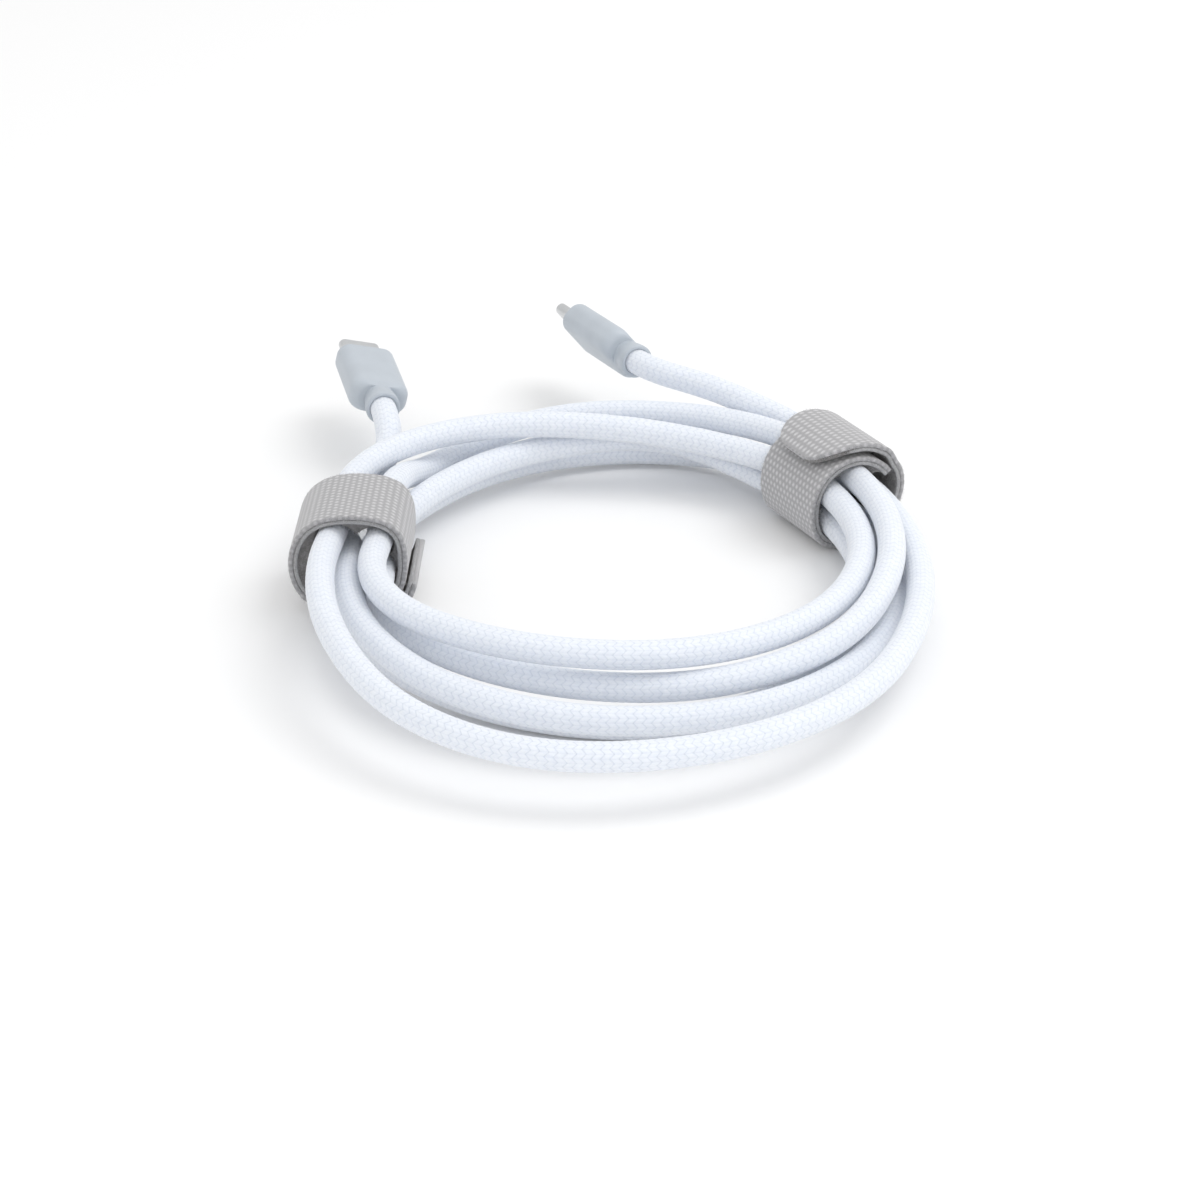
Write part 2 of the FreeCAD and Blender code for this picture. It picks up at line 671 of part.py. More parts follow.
def ply(tie, curve, path, stand_off, low, high, first, last, count):
    """Solid of one ply between two offsets, across the whole width of the strap."""
    centre, across, axis = tie_axes(tie)
    edges = []
    ends = []
    for offset in (low, high):
        line = Part.BSplineCurve()
        line.interpolate(Points=[centre + across * p.x + V(0, 0, p.y) - axis * TIE_HALF
                                 for p in strap_points(curve, path, stand_off, offset, first, last, count)])
        edges.append(line.toShape())
        ends.append((line.StartPoint, line.EndPoint))
    edges.insert(1, Part.LineSegment(ends[0][1], ends[1][1]).toShape())
    edges.append(Part.LineSegment(ends[1][0], ends[0][0]).toShape())
    face = Part.Face(Part.Wire(Part.__sortEdges__(edges)))
    return face.extrude(axis * size("strap_wide"))


def round_tip(solid, axis, tip, tangent, normal):
    """Cuts the two corners at the tab's tip to an arc."""
    r = size("tab_tip_round")
    spare = r / 2.0
    base = tip - normal * (TIP_CUT_DEPTH / 2.0)
    for sign in (-1.0, 1.0):
        out = axis * sign
        corner = base + out * TIE_HALF
        start = corner - tangent * r
        end = corner - out * r
        middle = corner - tangent * r - out * r + (tangent + out).normalize() * r
        wire = Part.Wire([
            Part.Arc(start, middle, end).toShape(),
            Part.makeLine(end, end + tangent * spare),
            Part.makeLine(end + tangent * spare, corner + tangent * spare + out * spare),
            Part.makeLine(corner + tangent * spare + out * spare, start + out * spare),
            Part.makeLine(start + out * spare, start),
        ])
        solid = solid.cut(Part.Face(wire).extrude(normal * TIP_CUT_DEPTH))
    return solid


hinges = {}
for side, tie, ring, path, stand_off, rounded in (
        ("left", TIE_LEFT, RING_LEFT, STRAP_LEFT, size("tab_stand_off_left"), False),
        ("right", TIE_RIGHT, RING_RIGHT, STRAP_RIGHT, size("tab_stand_off_right"), True)):
    centre, across, axis = tie_axes(tie)
    curve = outline(ring)
    whole = curve.length()
    hook = size("hook_ply")
    both = hook + size("loop_ply")
    root = path["root"]
    free = root + size("tab_root_gap") / whole
    pieces = (
        ("hook_ply_" + side, 0.0, hook, path["inner"], root, 120),
        ("loop_ply_" + side, hook, both, path["inner"], root, 120),
        ("tab_hook_" + side, 0.0, hook, free, path["tip"], 30),
        ("tab_loop_" + side, hook, both, free, path["tip"], 30),
    )
    tip = strap_points(curve, path, stand_off, hook, path["tip"], path["tip"], 1)[0]
    tip = centre + across * tip.x + V(0, 0, tip.y)
    flow = curve.tangent(curve.parameterAtDistance((path["tip"] % 1.0) * whole, curve.FirstParameter))[0]
    tangent = across * flow.x + V(0, 0, flow.y)
    normal = across * flow.y - V(0, 0, flow.x)
    for name, low, high, first, last, count in pieces:
        solid = ply(tie, curve, path, stand_off, low, high, first, last, count)
        if rounded and name.startswith("tab"):
            solid = round_tip(solid, axis, tip, tangent, normal)
        add_shape(name, solid)
    hinge = strap_points(curve, path, stand_off, both, free, free, 1)[0]
    hinge = centre + across * hinge.x + V(0, 0, hinge.y)
    hinges[side] = hinge
    print("tie", side, "outline", round(whole, 1), "strap length", round(whole * (path["tip"] - path["inner"]), 1),
          "hinge", [round(c, 2) for c in hinge], "axis", [round(c, 4) for c in axis])

doc.recompute()

# Checks and export
for obj in doc.Objects:
    if "Invalid" in obj.State or "Error" in obj.State:
        raise ValueError("object in error: " + obj.Name)
os.makedirs("parts", exist_ok=True)
box = None
for obj in parts:
    shape = obj.Shape
    if shape.isNull() or not shape.isValid():
        raise ValueError("bad shape: " + obj.Label)
    shape.exportStep("parts/%s.step" % obj.Label)
    tight = shape.optimalBoundingBox(True, False)
    if not obj.Label.startswith(("cord", "lead")):
        if box is None:
            box = FreeCAD.BoundBox(tight)
        else:
            box.add(tight)
    print(obj.Label, "solids", len(shape.Solids), "volume", round(shape.Volume, 3),
          "z", round(tight.ZMin, 3), round(tight.ZMax, 2))
print("nodes", len(parts))
print("box without the cord", box, "middle", round(box.Center.x, 3), round(box.Center.y, 3))
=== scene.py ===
import json
import math

import bpy
import numpy as np
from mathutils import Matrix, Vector


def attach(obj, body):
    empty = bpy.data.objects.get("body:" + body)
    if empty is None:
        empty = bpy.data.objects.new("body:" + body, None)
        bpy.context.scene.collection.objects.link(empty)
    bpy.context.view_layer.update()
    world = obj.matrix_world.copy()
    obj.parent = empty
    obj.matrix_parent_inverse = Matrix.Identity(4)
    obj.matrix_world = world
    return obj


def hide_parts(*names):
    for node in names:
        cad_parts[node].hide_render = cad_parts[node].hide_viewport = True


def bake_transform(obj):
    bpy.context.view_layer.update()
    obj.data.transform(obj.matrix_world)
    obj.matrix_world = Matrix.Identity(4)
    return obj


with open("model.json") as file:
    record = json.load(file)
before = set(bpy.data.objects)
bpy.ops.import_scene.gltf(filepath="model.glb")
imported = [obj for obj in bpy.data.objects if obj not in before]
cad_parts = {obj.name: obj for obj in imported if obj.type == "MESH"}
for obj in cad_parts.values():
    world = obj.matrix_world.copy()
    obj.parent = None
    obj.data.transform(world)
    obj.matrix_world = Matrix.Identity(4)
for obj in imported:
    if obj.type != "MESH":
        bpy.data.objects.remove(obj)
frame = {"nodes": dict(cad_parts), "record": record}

# Charging cable: one braided cord in loose loops, a plug at each end, two hook-and-loop ties.
# Sizes are in millimetres and become metres where a mesh is made.
MM = 0.001
UP = np.array([0.0, 0.0, 1.0])
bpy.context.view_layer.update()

# The stations below start from the photograph's middle, and this moves them into the CAD frame
SHIFT = np.array([-0.85, -46.42, 0.0])

# Cord: its size, its straight runs, the steps of its route, and what counts as straight
CORD_DIA = 5.0
CORD_R = CORD_DIA / 2
COIL_END_RUN = 6.0
LEAD_REACH = 5.0
INTO_NECK = 1.5
TURN_STEP = 5.5
SPLINE_STEPS = 12
STRAIGHT_TURN = 1e-9
STRAIGHT_CHORD = 1e-4

# Braid: rows round the cord, floats along it, how far a float leans and the depth between floats
BRAID_PITCH = 1.4
PITCH_STEPS = 4
BRAID_ROWS = 20
ROW_STEPS = 3
BRAID_LEAN = 0.5
BRAID_DEPTH = 0.07
ROW_CROWN = 0.35
FLOAT_CROWN = 0.65
FLOAT_AT_EDGE = 0.4
YARNS_IN_FLOAT = 5
TUCKED_HEIGHT = 0.55

# Map for baking: strips of the cord, with a margin round each
BAKE_STRIPS = 10
BAKE_MARGIN = 0.04
BAKE_END = 0.005

# Pose of each plug: where the cord enters, heading, pitch and roll in degrees
PLUG_POSE = {
    "left": (-41.55, 53.8, 13.75, 102.7, 0.7, 14.1),
    "right": (7.35, 70.5, 16.55, 115.6, -3.7, 51.3),
}

# Ties: centre, height of the strands' middle, heading of the axis
TIE = {
    "left": {"x": -42.0, "y": 2.3, "z": 9.8, "yaw": 88.5},
    "right": {"x": 42.5, "y": 29.7, "z": 8.9, "yaw": 118.5},
}
TIE_HALF = 9.0
EDGE_ROUND = 0.35
FLAT_HALF = TIE_HALF - EDGE_ROUND

# Where each strand crosses the front and back face of a tie: across, up, heading
SLOTS = {
    ("left", "front"): {"E": (-4.85, 4.95, 82.0), "A": (3.4, 4.2, 79.7), "C": (-1.25, 0.65, 85.3),
                        "B": (3.9, -1.3, 85.8), "D": (0.0, -5.15, 85.6)},
    ("left", "back"): {"E": (-4.15, 5.25, 88.6), "A": (3.15, 4.5, 85.1), "C": (-4.5, -0.65, 94.3),
                       "B": (4.15, -0.95, 74.6), "D": (0.45, -5.15, 74.5)},
    ("right", "front"): {"A": (-4.55, 2.0, 110.6), "B": (0.45, 4.5, 111.1), "E": (4.4, 0.45, 109.7),
                         "D": (-4.4, -3.45, 111.0), "C": (1.1, -4.1, 111.9)},
    ("right", "back"): {"A": (-4.8, 1.65, 137.9), "B": (0.4, 4.4, 129.5), "E": (4.85, 1.05, 118.0),
                        "D": (-4.05, -3.75, 123.1), "C": (1.4, -4.1, 123.0)},
}
# Pitch where the coil starts and where it ends; the other crossings are level
SLOT_PITCH = {("left", "back", "C"): 4.3, ("right", "back", "E"): 11.9}

# Crests of the loops between the ties: x, y, z, heading, pitch
FRONT_CREST = {
    "C": [(0.65, -57.35, 7.55, -1.5, -2.1)],
    "D": [(3.95, -49.95, 2.5, -1.3, 0.0)],
    "B": [(9.9, -47.25, 8.05, -1.7, 2.9)],
    "A": [(5.1, -46.65, 13.7, 5.3, -2.7)],
    "E": [(-2.2, -72.4, 9.5, -2.7, 0.3)],
}
BACK_CREST = {
    "C": [(8.05, 58.2, 2.85, 181.2, 1.0)],
    "D": [(3.1, 51.05, 8.85, 181.5, -4.6)],
    "B": [(4.1, 59.15, 10.6, 178.0, -0.8), (-25.9, 48.6, 7.5, 226.8, -7.6)],
    "A": [(-9.1, 47.1, 13.45, 179.2, 1.0)],
}
# Order of the loops: front slot, and the left slot that the loop comes back to
LOOPS = [("C", "D"), ("D", "B"), ("B", "A"), ("A", "E"), ("E", None)]

# Point of each free end between the coil and its plug: x, y, z, heading, pitch
LEAD_MID = {
    "left": (-40.9, 36.8, 10.0, 74.9, 8.0),
    "right": (25.4, 56.65, 15.25, 146.2, 8.7),
}

# Inner outline of each tie: across, up from the strands' middle
RING = {
    "left": [(7.0, 1.2), (6.0, 6.0), (-1.0, 8.2), (-8.1, 6.2),
             (-10.6, 0.2), (-8.5, -5.6), (-0.4, -7.95), (5.2, -5.3)],
    "right": [(7.7, 0.3), (5.5, 4.9), (0.3, 7.3), (-5.5, 5.3),
              (-7.8, -0.2), (-6.2, -5.45), (0.3, -7.1), (5.6, -5.0)],
}
RING_STEPS = 60
OUTWARD_REACH = 0.15
# Along the outline, in turns from its right side: inner end, start of the step, root of the tab and tip;
# then how far the tab stands off the layer below, and whether its tip is rounded
STRAP = {
    "left": {"inner": -0.14, "rise": 0.77, "root": 0.88, "tip": 0.935, "stand_off": 0.4, "round": False},
    "right": {"inner": 0.085, "rise": 0.885, "root": 1.135, "tip": 1.36, "stand_off": 1.0, "round": True},
}
HOOK_PLY = 0.8
LOOP_PLY = 0.9
LAYER_GAP = 0.35
TIP_ROUND = 6.0
EDGE_FADE = 0.7
EDGE_STEPS = 3

# Weave of the outer ply: round knots in staggered rows, uneven by two slanted waves; and steps of its mesh
KNOT_ROW = 1.0
KNOTS_ACROSS = 15
KNOT_STEP = 2 * FLAT_HALF / KNOTS_ACROSS
KNOT_REACH = 0.46
KNOT_DEPTH = 0.05
KNOT_UNEVEN = 0.25
KNOT_WAVES = [(1.7, 2.9), (-0.8, 1.3)]
MESH_STEPS = 4
STRAP_STEP = KNOT_ROW / MESH_STEPS

# Nap and loose fibres of the inner ply, and loose fibres along the edges of both plies
NAP_LIFT = 0.05
NAP_DEPTH = 0.04
NAP_LIMIT = 1.5
NAP_SEED = 7
FIBRE_SEED = {"hook": 3, "loop": 5}
FIBRE_DENSITY = {"hook": 75.0, "loop": 40.0}
FIBRE_WIDTH = 0.06
FIBRE_ROOT = 0.06
FIBRE_TAPER = 0.4
FIBRE_LEAN = 0.5
FIBRE_SHORTEST = 0.5
EDGE_LENGTH = 0.42
EDGE_LEAN = 0.3
PILE_SHARE = 0.8
PILE_LENGTH = 0.5
PILE_LEAN = 0.5
PILE_DIP = 0.9
RIM_LINE = 8.75
RIM_RISE = 10.0

# Soft lining that bulges in between the strands
LINING_PRESS = 3.0
LINING_REACH = 3 * TIE_HALF
LINING_CLEAR = 0.15
LINING_FADE = 2.0

# Grip from its rear end to its front end, along the plug's own axis
GRIP_START = 4.6
GRIP_END = 24.6
GRIP_WIDE = 11.6
GRIP_HIGH = 6.4
GRIP_ROUND = 2.6
SHOULDER = 2.3
SHOULDER_FULLNESS = 0.8
REAR_HALF_WIDE = 3.9
REAR_HALF_HIGH = 2.6
LIP = 1.1
SHOULDER_RINGS = 14
BODY_RINGS = 12
LIP_RINGS = 10

# Steel mouth, and the grip's opening round it: depth behind the front end, room round the steel, corner
SHELL_WIDE = 8.25
SHELL_HIGH = 2.4
OPENING = [(0.02, 0.12, 1.2), (1.2, 0.02, 1.15)]

# Neck: distance from its mouth and radius, from inside the mouth round its rim to the grip
NECK_MOUTH_R = 3.33
NECK_WAIST_R = 2.95
NECK_PROFILE = [
    (0.6, CORD_R - 0.02), (0.12, CORD_R + 0.03), (0.0, CORD_R + 0.2), (0.0, NECK_MOUTH_R - 0.3),
    (0.1, NECK_MOUTH_R - 0.08), (0.3, NECK_MOUTH_R), (1.2, NECK_MOUTH_R), (2.2, NECK_MOUTH_R - 0.08),
    (3.2, NECK_WAIST_R + 0.08), (3.9, NECK_WAIST_R), (4.4, NECK_WAIST_R + 0.04), (4.8, NECK_WAIST_R + 0.12),
    (5.2, NECK_WAIST_R + 0.16), (6.4, NECK_WAIST_R),
]
ROUND_POINTS = 64
LEAST_HALF_SIDE = 0.01

# Tones from dark to light, each with its place on its ramp
# Braid: white floats; the dark end is painted bluish shade in the grooves between floats and the tucks
# between rows
BRAID_WHITE_AND_GROOVE_SHADE = [(0.0, (0.64, 0.68, 0.75)), (0.5, (0.74, 0.775, 0.84)), (1.0, (0.81, 0.84, 0.89))]
BRAID_DRIFT = [(0.3, (0.93, 0.94, 0.96)), (0.7, (1.0, 1.0, 1.0))]
# Woven ply: grey; the light end is a painted highlight on each knot's crown, the dark end painted shade
# between knots
WEAVE_GREY_AND_KNOT_HIGHLIGHT = [(0.32, (0.34, 0.337, 0.345)), (0.6, (0.425, 0.421, 0.43)), (0.95, (0.60, 0.596, 0.605))]
PILE_TONES = [(0.32, (0.08, 0.076, 0.075)), (0.5, (0.21, 0.202, 0.2)), (0.68, (0.42, 0.41, 0.405))]
RIM_TONES = [(0.35, (0.30, 0.30, 0.305)), (0.65, (0.54, 0.542, 0.55))]

# Plain materials by slot: name, colour, roughness, and for plastics the strength of their grain
PLASTICS = {
    "grip": ("satin_grip", (0.49, 0.535, 0.585), 0.42, 0.05),
    "hard_fill": ("hard_fill", (0.78, 0.77, 0.72), 0.5, 0.06),
    "board": ("board", (0.03, 0.17, 0.07), 0.4, 0.06),
    "chip": ("chip", (0.02, 0.02, 0.02), 0.5, 0.06),
    "carrier": ("carrier", (0.03, 0.03, 0.03), 0.45, 0.06),
}
METALS = {
    "steel": ("satin_steel", (0.60, 0.61, 0.62), 0.35),
    "contact": ("plated_contact", (0.83, 0.62, 0.27), 0.25),
    "wire": ("drawn_wire", (0.78, 0.45, 0.28), 0.35),
}
PLASTIC_SHADE = 0.95
METAL_BRIGHTER = 1.08
METAL_SPREAD = 0.1

# Camera of the photograph
CAMERA_DISTANCE = 537.0
CAMERA_ELEVATION = 27.0
CAMERA_LENS = 90.5
SENSOR = 36.0

# Studio: half the floor's side, and the strength of the dome at the horizon and overhead
FLOOR_HALF = 1500
SKY_LOW = 0.8
SKY_TOP = 0.97


# Meshes
def make_object(name, points, faces):
    """A smooth mesh from points in millimetres and faces that all have as many corners."""
    faces = np.asarray(faces, np.int32)
    points = np.asarray(points, float) * MM
    mesh = bpy.data.meshes.new(name)
    mesh.vertices.add(len(points))
    mesh.vertices.foreach_set("co", points.astype(np.float32).ravel())
    mesh.loops.add(faces.size)
    mesh.loops.foreach_set("vertex_index", faces.ravel())
    mesh.polygons.add(len(faces))
    mesh.polygons.foreach_set("loop_start", np.arange(0, faces.size, faces.shape[1], dtype=np.int32))
    mesh.polygons.foreach_set("use_smooth", np.full(len(faces), True))
    mesh.update(calc_edges=True)
    mesh.validate()
    obj = bpy.data.objects.new(name, mesh)
    bpy.context.scene.collection.objects.link(obj)
    return obj


def quad_corners(rings, sides):
    """Ring and side at each corner of a tube's quads; sides are counted on past a ring's last one."""
    ring = np.arange(rings - 1)[:, None, None] + np.array([0, 0, 1, 1])
    side = np.arange(sides)[None, :, None] + np.array([0, 1, 1, 0])
    return np.broadcast_arrays(ring, side)


def cap_fan(ring_start, sides, middle, flip):
    """Quads that close one end of a tube round a middle point, two sides at a time."""
    k = np.arange(0, sides, 2)
    a = ring_start + k
    b = ring_start + (k + 1) % sides
    c = ring_start + (k + 2) % sides
    quads = np.stack([a, np.full_like(a, middle), c, b], -1)
    return quads[:, ::-1] if flip else quads


def closed_tube(rings, sides, clockwise=False):
    """Faces of a tube, and of its caps round the two middle points that follow the rings' points."""
    ring, side = quad_corners(rings, sides)
    body = (ring * sides + side % sides).reshape(-1, 4)
    if clockwise:
        body = body[:, ::-1]
    last_ring = (rings - 1) * sides
    middle = rings * sides
    start_cap = cap_fan(0, sides, middle, clockwise)
    end_cap = cap_fan(last_ring, sides, middle + 1, not clockwise)
    return body, np.concatenate([start_cap, end_cap])


def set_uv(obj, name, values):
    layer = obj.data.uv_layers.new(name=name, do_init=False)
    layer.uv.foreach_set("vector", np.asarray(values, np.float32).ravel())


# Directions and lengths
def direction(heading, pitch):
    a = math.radians(heading)
    b = math.radians(pitch)
    return np.array([math.cos(a) * math.cos(b), math.sin(a) * math.cos(b), math.sin(b)])


def tie_axes(side):
    """Centre of a tie, its direction across the strands and its axis toward the back."""
    tie = TIE[side]
    axis = direction(tie["yaw"], 0.0)
    return np.array([tie["x"], tie["y"], tie["z"]]) + SHIFT, np.cross(axis, UP), axis


def plug_axes(side):
    """Mouth of the neck, and the plug's wide, thick and forward directions."""
    x, y, z, heading, pitch, roll = PLUG_POSE[side]
    forward = direction(heading, pitch)
    level = np.cross(direction(heading, 0.0), UP)
    upward = np.cross(level, forward)
    wide = level * math.cos(math.radians(roll)) - upward * math.sin(math.radians(roll))
    return np.array([x, y, z]) + SHIFT, wide, np.cross(forward, wide), forward


def in_tie(side, section, along):
    """Way from a tie's centre: a place in its section, across and up, and a distance along its axis."""
    _, across, axis = tie_axes(side)
    return across * section[..., :1] + UP * section[..., 1:] + axis * along[..., None]


def lengths_along(line):
    steps = np.linalg.norm(np.diff(line, axis=0), axis=1)
    return np.concatenate([[0.0], np.cumsum(steps)])


def read_line(line, lengths, at):
    """Points of a line at some lengths along it."""
    return np.stack([np.interp(at, lengths, column) for column in line.T], -1)


def smooth_step(t):
    t = np.clip(t, 0.0, 1.0)
    return t * t * (3 - 2 * t)


# Route of the cord: stations in the ties and at the crests, joined by turns of two arcs
def face_station(side, face, name):
    u, w, heading = SLOTS[side, face][name]
    forward = direction(heading, SLOT_PITCH.get((side, face, name), 0.0))
    if side == "left":
        forward = -forward
    along = TIE_HALF if face == "back" else -TIE_HALF
    return tie_axes(side)[0] + in_tie(side, np.array([u, w]), np.array(along)), forward


def crest_stations(rows):
    return [(np.array([x, y, z]) + SHIFT, direction(h, p)) for x, y, z, h, p in rows]


def arc_points(start, tangent, end, count):
    """Points on the arc that leaves start along tangent, the last one at end."""
    chord = end - start
    side = chord - tangent * chord.dot(tangent)
    if np.linalg.norm(side) < STRAIGHT_CHORD:
        return [start + chord * k / count for k in range(1, count + 1)]
    side /= np.linalg.norm(side)
    radius = chord.dot(chord) / (2 * chord.dot(side))
    turn = 2 * math.atan2(chord.dot(side), chord.dot(tangent))
    middle = start + side * radius
    turns = [turn * k / count for k in range(1, count + 1)]
    return [middle - side * radius * math.cos(t) + tangent * radius * math.sin(t) for t in turns]


def turn_points(p0, t0, p1, t1):
    """Points of one turn from station to station, evenly spread over its two arcs."""
    v = p1 - p0
    t = t0 + t1
    spread = 2 * (1 - t0.dot(t1))
    if spread < STRAIGHT_TURN:
        reach = v.dot(v) / (4 * v.dot(t1))
    else:
        reach = (-v.dot(t) + math.sqrt(v.dot(t) ** 2 + spread * v.dot(v))) / spread
    joint = (p0 + p1) / 2 + (t0 - t1) * reach / 2
    count = max(2, round(np.linalg.norm(joint - p0) / TURN_STEP))
    back = arc_points(p1, -t1, joint, count)
    return arc_points(p0, t0, joint, count) + back[::-1][1:] + [p1]


def lead_points(side, coil_end, away):
    """Points of a free end, from the coil outward: straight at the coil, at its middle and in the neck."""
    mouth, _, _, forward = plug_axes(side)
    middle, heading = crest_stations([LEAD_MID[side]])[0]
    return [coil_end, coil_end + away * LEAD_REACH,
            middle - heading * LEAD_REACH, middle + heading * LEAD_REACH,
            mouth - forward * LEAD_REACH, mouth + forward * INTO_NECK]


def cord_route():
    """Points of the whole cord, from the left plug through the loops to the right plug."""
    stations = [face_station("left", "back", "C")]
    for front, back in LOOPS:
        stations.append(face_station("left", "front", front))
        stations += crest_stations(FRONT_CREST[front])
        stations.append(face_station("right", "front", front))
        stations.append(face_station("right", "back", front))
        if back:
            stations += crest_stations(BACK_CREST[front])
            stations.append(face_station("left", "back", back))
    first, first_way = stations[0]
    last, last_way = stations[-1]
    route = lead_points("left", first - first_way * COIL_END_RUN, -first_way)[::-1]
    route.append(first)
    for (p0, t0), (p1, t1) in zip(stations, stations[1:]):
        route += turn_points(p0, t0, p1, t1)
    route += lead_points("right", last + last_way * COIL_END_RUN, last_way)
    return np.array(route)


def along_spline(points):
    """The route as one open spline, read back as close points in millimetres."""
    curve = bpy.data.curves.new("cord_route", "CURVE")
    curve.dimensions = "3D"
    curve.resolution_u = SPLINE_STEPS
    spline = curve.splines.new("NURBS")
    spline.points.add(len(points) - 1)
    for knot, point in zip(spline.points, points * MM):
        knot.co = (*point, 1.0)
    spline.order_u = 3
    spline.use_endpoint_u = True
    holder = bpy.data.objects.new("cord_route", curve)
    bpy.context.scene.collection.objects.link(holder)
    bpy.context.view_layer.update()
    mesh = bpy.data.meshes.new_from_object(holder)
    line = np.array([v.co for v in mesh.vertices], float) / MM
    bpy.data.objects.remove(holder)
    bpy.data.curves.remove(curve)
    bpy.data.meshes.remove(mesh)
    return line


# Cord
def carried_frames(line):
    """Two directions square to the line at each point, carried along it without twist."""
    ways = np.gradient(line, axis=0)
    ways /= np.linalg.norm(ways, axis=1)[:, None]
    normal = np.cross(ways[0], UP)
    normal /= np.linalg.norm(normal)
    normals = [normal]
    for way in ways[1:]:
        normal = normal - way * normal.dot(way)
        normal = normal / np.linalg.norm(normal)
        normals.append(normal)
    normals = np.array(normals)
    return normals, np.cross(ways, normals)


def braid_height(pitches, rows):
    """Relief of the braid, 0 in its grooves and 1 on its floats."""
    row = np.floor(rows)
    share = rows - row
    sense = 1 - 2 * np.mod(row, 2)
    phase = pitches + sense * BRAID_LEAN * (share - 0.5)
    crown = 0.5 - 0.5 * np.cos(2 * math.pi * phase)
    row_crown = np.sin(math.pi * np.clip(share, 0, 1))
    return ROW_CROWN * row_crown + FLOAT_CROWN * crown * (FLOAT_AT_EDGE + (1 - FLOAT_AT_EDGE) * row_crown)


def flat_map(u, v, cap_faces):
    """Map of a tube's quads, with every corner of its caps at one place."""
    quads = np.stack(np.broadcast_arrays(u, v), -1).reshape(-1, 2)
    return np.concatenate([quads, np.zeros((4 * cap_faces, 2))])


def map_cord(obj, rings, pitches_a_ring, cap_faces):
    """The braid's own map, counted in pitches and rows, and a map of strips for baking."""
    sides = BRAID_ROWS * ROW_STEPS
    ring, side = quad_corners(rings, sides)
    set_uv(obj, "braid", flat_map(ring * pitches_a_ring, side / ROW_STEPS, cap_faces))
    per_strip = math.ceil((rings - 1) / BAKE_STRIPS)
    strip = ring[..., :1] // per_strip
    across = (ring - strip * per_strip) / per_strip
    up = (strip + BAKE_MARGIN + (1 - 2 * BAKE_MARGIN) * side / sides) / BAKE_STRIPS
    set_uv(obj, "OFBake", flat_map(BAKE_END + (1 - 2 * BAKE_END) * across, up, cap_faces))


def build_cord():
    """The cord as one braided tube, and its middle line."""
    route = along_spline(cord_route())
    lengths = lengths_along(route)
    count = round(lengths[-1] * PITCH_STEPS / BRAID_PITCH)
    at = np.linspace(0.0, lengths[-1], count + 1)
    line = read_line(route, lengths, at)
    normals, binormals = carried_frames(line)
    sides = BRAID_ROWS * ROW_STEPS
    turn = 2 * math.pi * np.arange(sides)[:, None] / sides
    outward = normals[:, None] * np.cos(turn) + binormals[:, None] * np.sin(turn)
    height = braid_height((at / BRAID_PITCH)[:, None], (np.arange(sides) / ROW_STEPS)[None])
    radius = CORD_R - BRAID_DEPTH * (1 - height)
    points = (line[:, None] + outward * radius[..., None]).reshape(-1, 3)
    body, caps = closed_tube(len(line), sides)
    obj = make_object("cord", np.concatenate([points, line[[0, -1]]]), np.concatenate([body, caps]))
    map_cord(obj, len(line), at[1] / BRAID_PITCH, len(caps))
    return obj, line


# Ties
def ring_curve(side):
    """The tie's inner outline: a closed cubic spline through its points, spaced by chord."""
    points = np.array(RING[side], float)
    count = len(points)
    gaps = np.linalg.norm(np.roll(points, -1, axis=0) - points, axis=1)
    rows = np.zeros((count, count))
    right = np.zeros((count, 2))
    for k in range(count):
        following = (k + 1) % count
        before = gaps[k - 1]
        after = gaps[k]
        rows[k, k - 1] += before
        rows[k, k] += 2 * (before + after)
        rows[k, following] += after
        right[k] = 6 * ((points[following] - points[k]) / after - (points[k] - points[k - 1]) / before)
    bends = np.linalg.solve(rows, right)
    line = []
    for k in range(count):
        following = (k + 1) % count
        h = gaps[k]
        t = np.linspace(0, h, RING_STEPS, endpoint=False)[:, None]
        line.append(bends[k] * (h - t) ** 3 / (6 * h) + bends[following] * t ** 3 / (6 * h)
                    + (points[k] / h - bends[k] * h / 6) * (h - t)
                    + (points[following] / h - bends[following] * h / 6) * t)
    line = np.concatenate(line)
    return np.concatenate([line, line[:1]])


def strap_line(side, first, last):
    """Places along a strap: points on its inner face, outward directions, millimetres from its inner end."""
    closed = ring_curve(side)
    lengths = lengths_along(closed)
    whole = lengths[-1]
    path = STRAP[side]
    count = round((last - first) * whole / STRAP_STEP)
    turns = np.linspace(first, last, count + 1)
    at = np.mod(turns, 1.0) * whole
    ahead = read_line(closed, lengths, np.mod(at + OUTWARD_REACH, whole))
    behind = read_line(closed, lengths, np.mod(at - OUTWARD_REACH, whole))
    way = ahead - behind
    way /= np.linalg.norm(way, axis=1)[:, None]
    outward = np.stack([way[:, 1], -way[:, 0]], -1)
    over = 1.0 + path["inner"]
    lift = (HOOK_PLY + LOOP_PLY + LAYER_GAP) * smooth_step((turns - path["rise"]) / (over - path["rise"]))
    lift += (path["stand_off"] - LAYER_GAP) * smooth_step((turns - over) / (path["root"] - over))
    inner = read_line(closed, lengths, at) + outward * lift[:, None]
    return inner, outward, (turns - path["inner"]) * whole


def tape_section(low, high, columns):
    """Outline of a tape's section: outer face, round one edge, back along the inner face, other edge."""
    r = min(EDGE_ROUND, (high - low) / 2)
    bend = np.radians(np.linspace(0, 90, EDGE_STEPS + 1))
    out = r * np.sin(bend)
    up = r * np.cos(bend)
    edge = TIE_HALF - r
    flat = np.linspace(-edge, edge, columns)
    outer = np.stack([flat, np.full(columns, high)], -1)
    inner = np.stack([flat[::-1], np.full(columns, low)], -1)
    right_top = np.stack([edge + out, high - r + up], -1)
    right_foot = np.stack([edge + up, low + r - out], -1)
    left_foot = np.stack([-edge - out, low + r - up], -1)
    left_top = np.stack([-edge - up, high - r + out], -1)
    return np.concatenate([outer, right_top[1:], right_foot, inner[1:], left_foot[1:], left_top[:-1]])


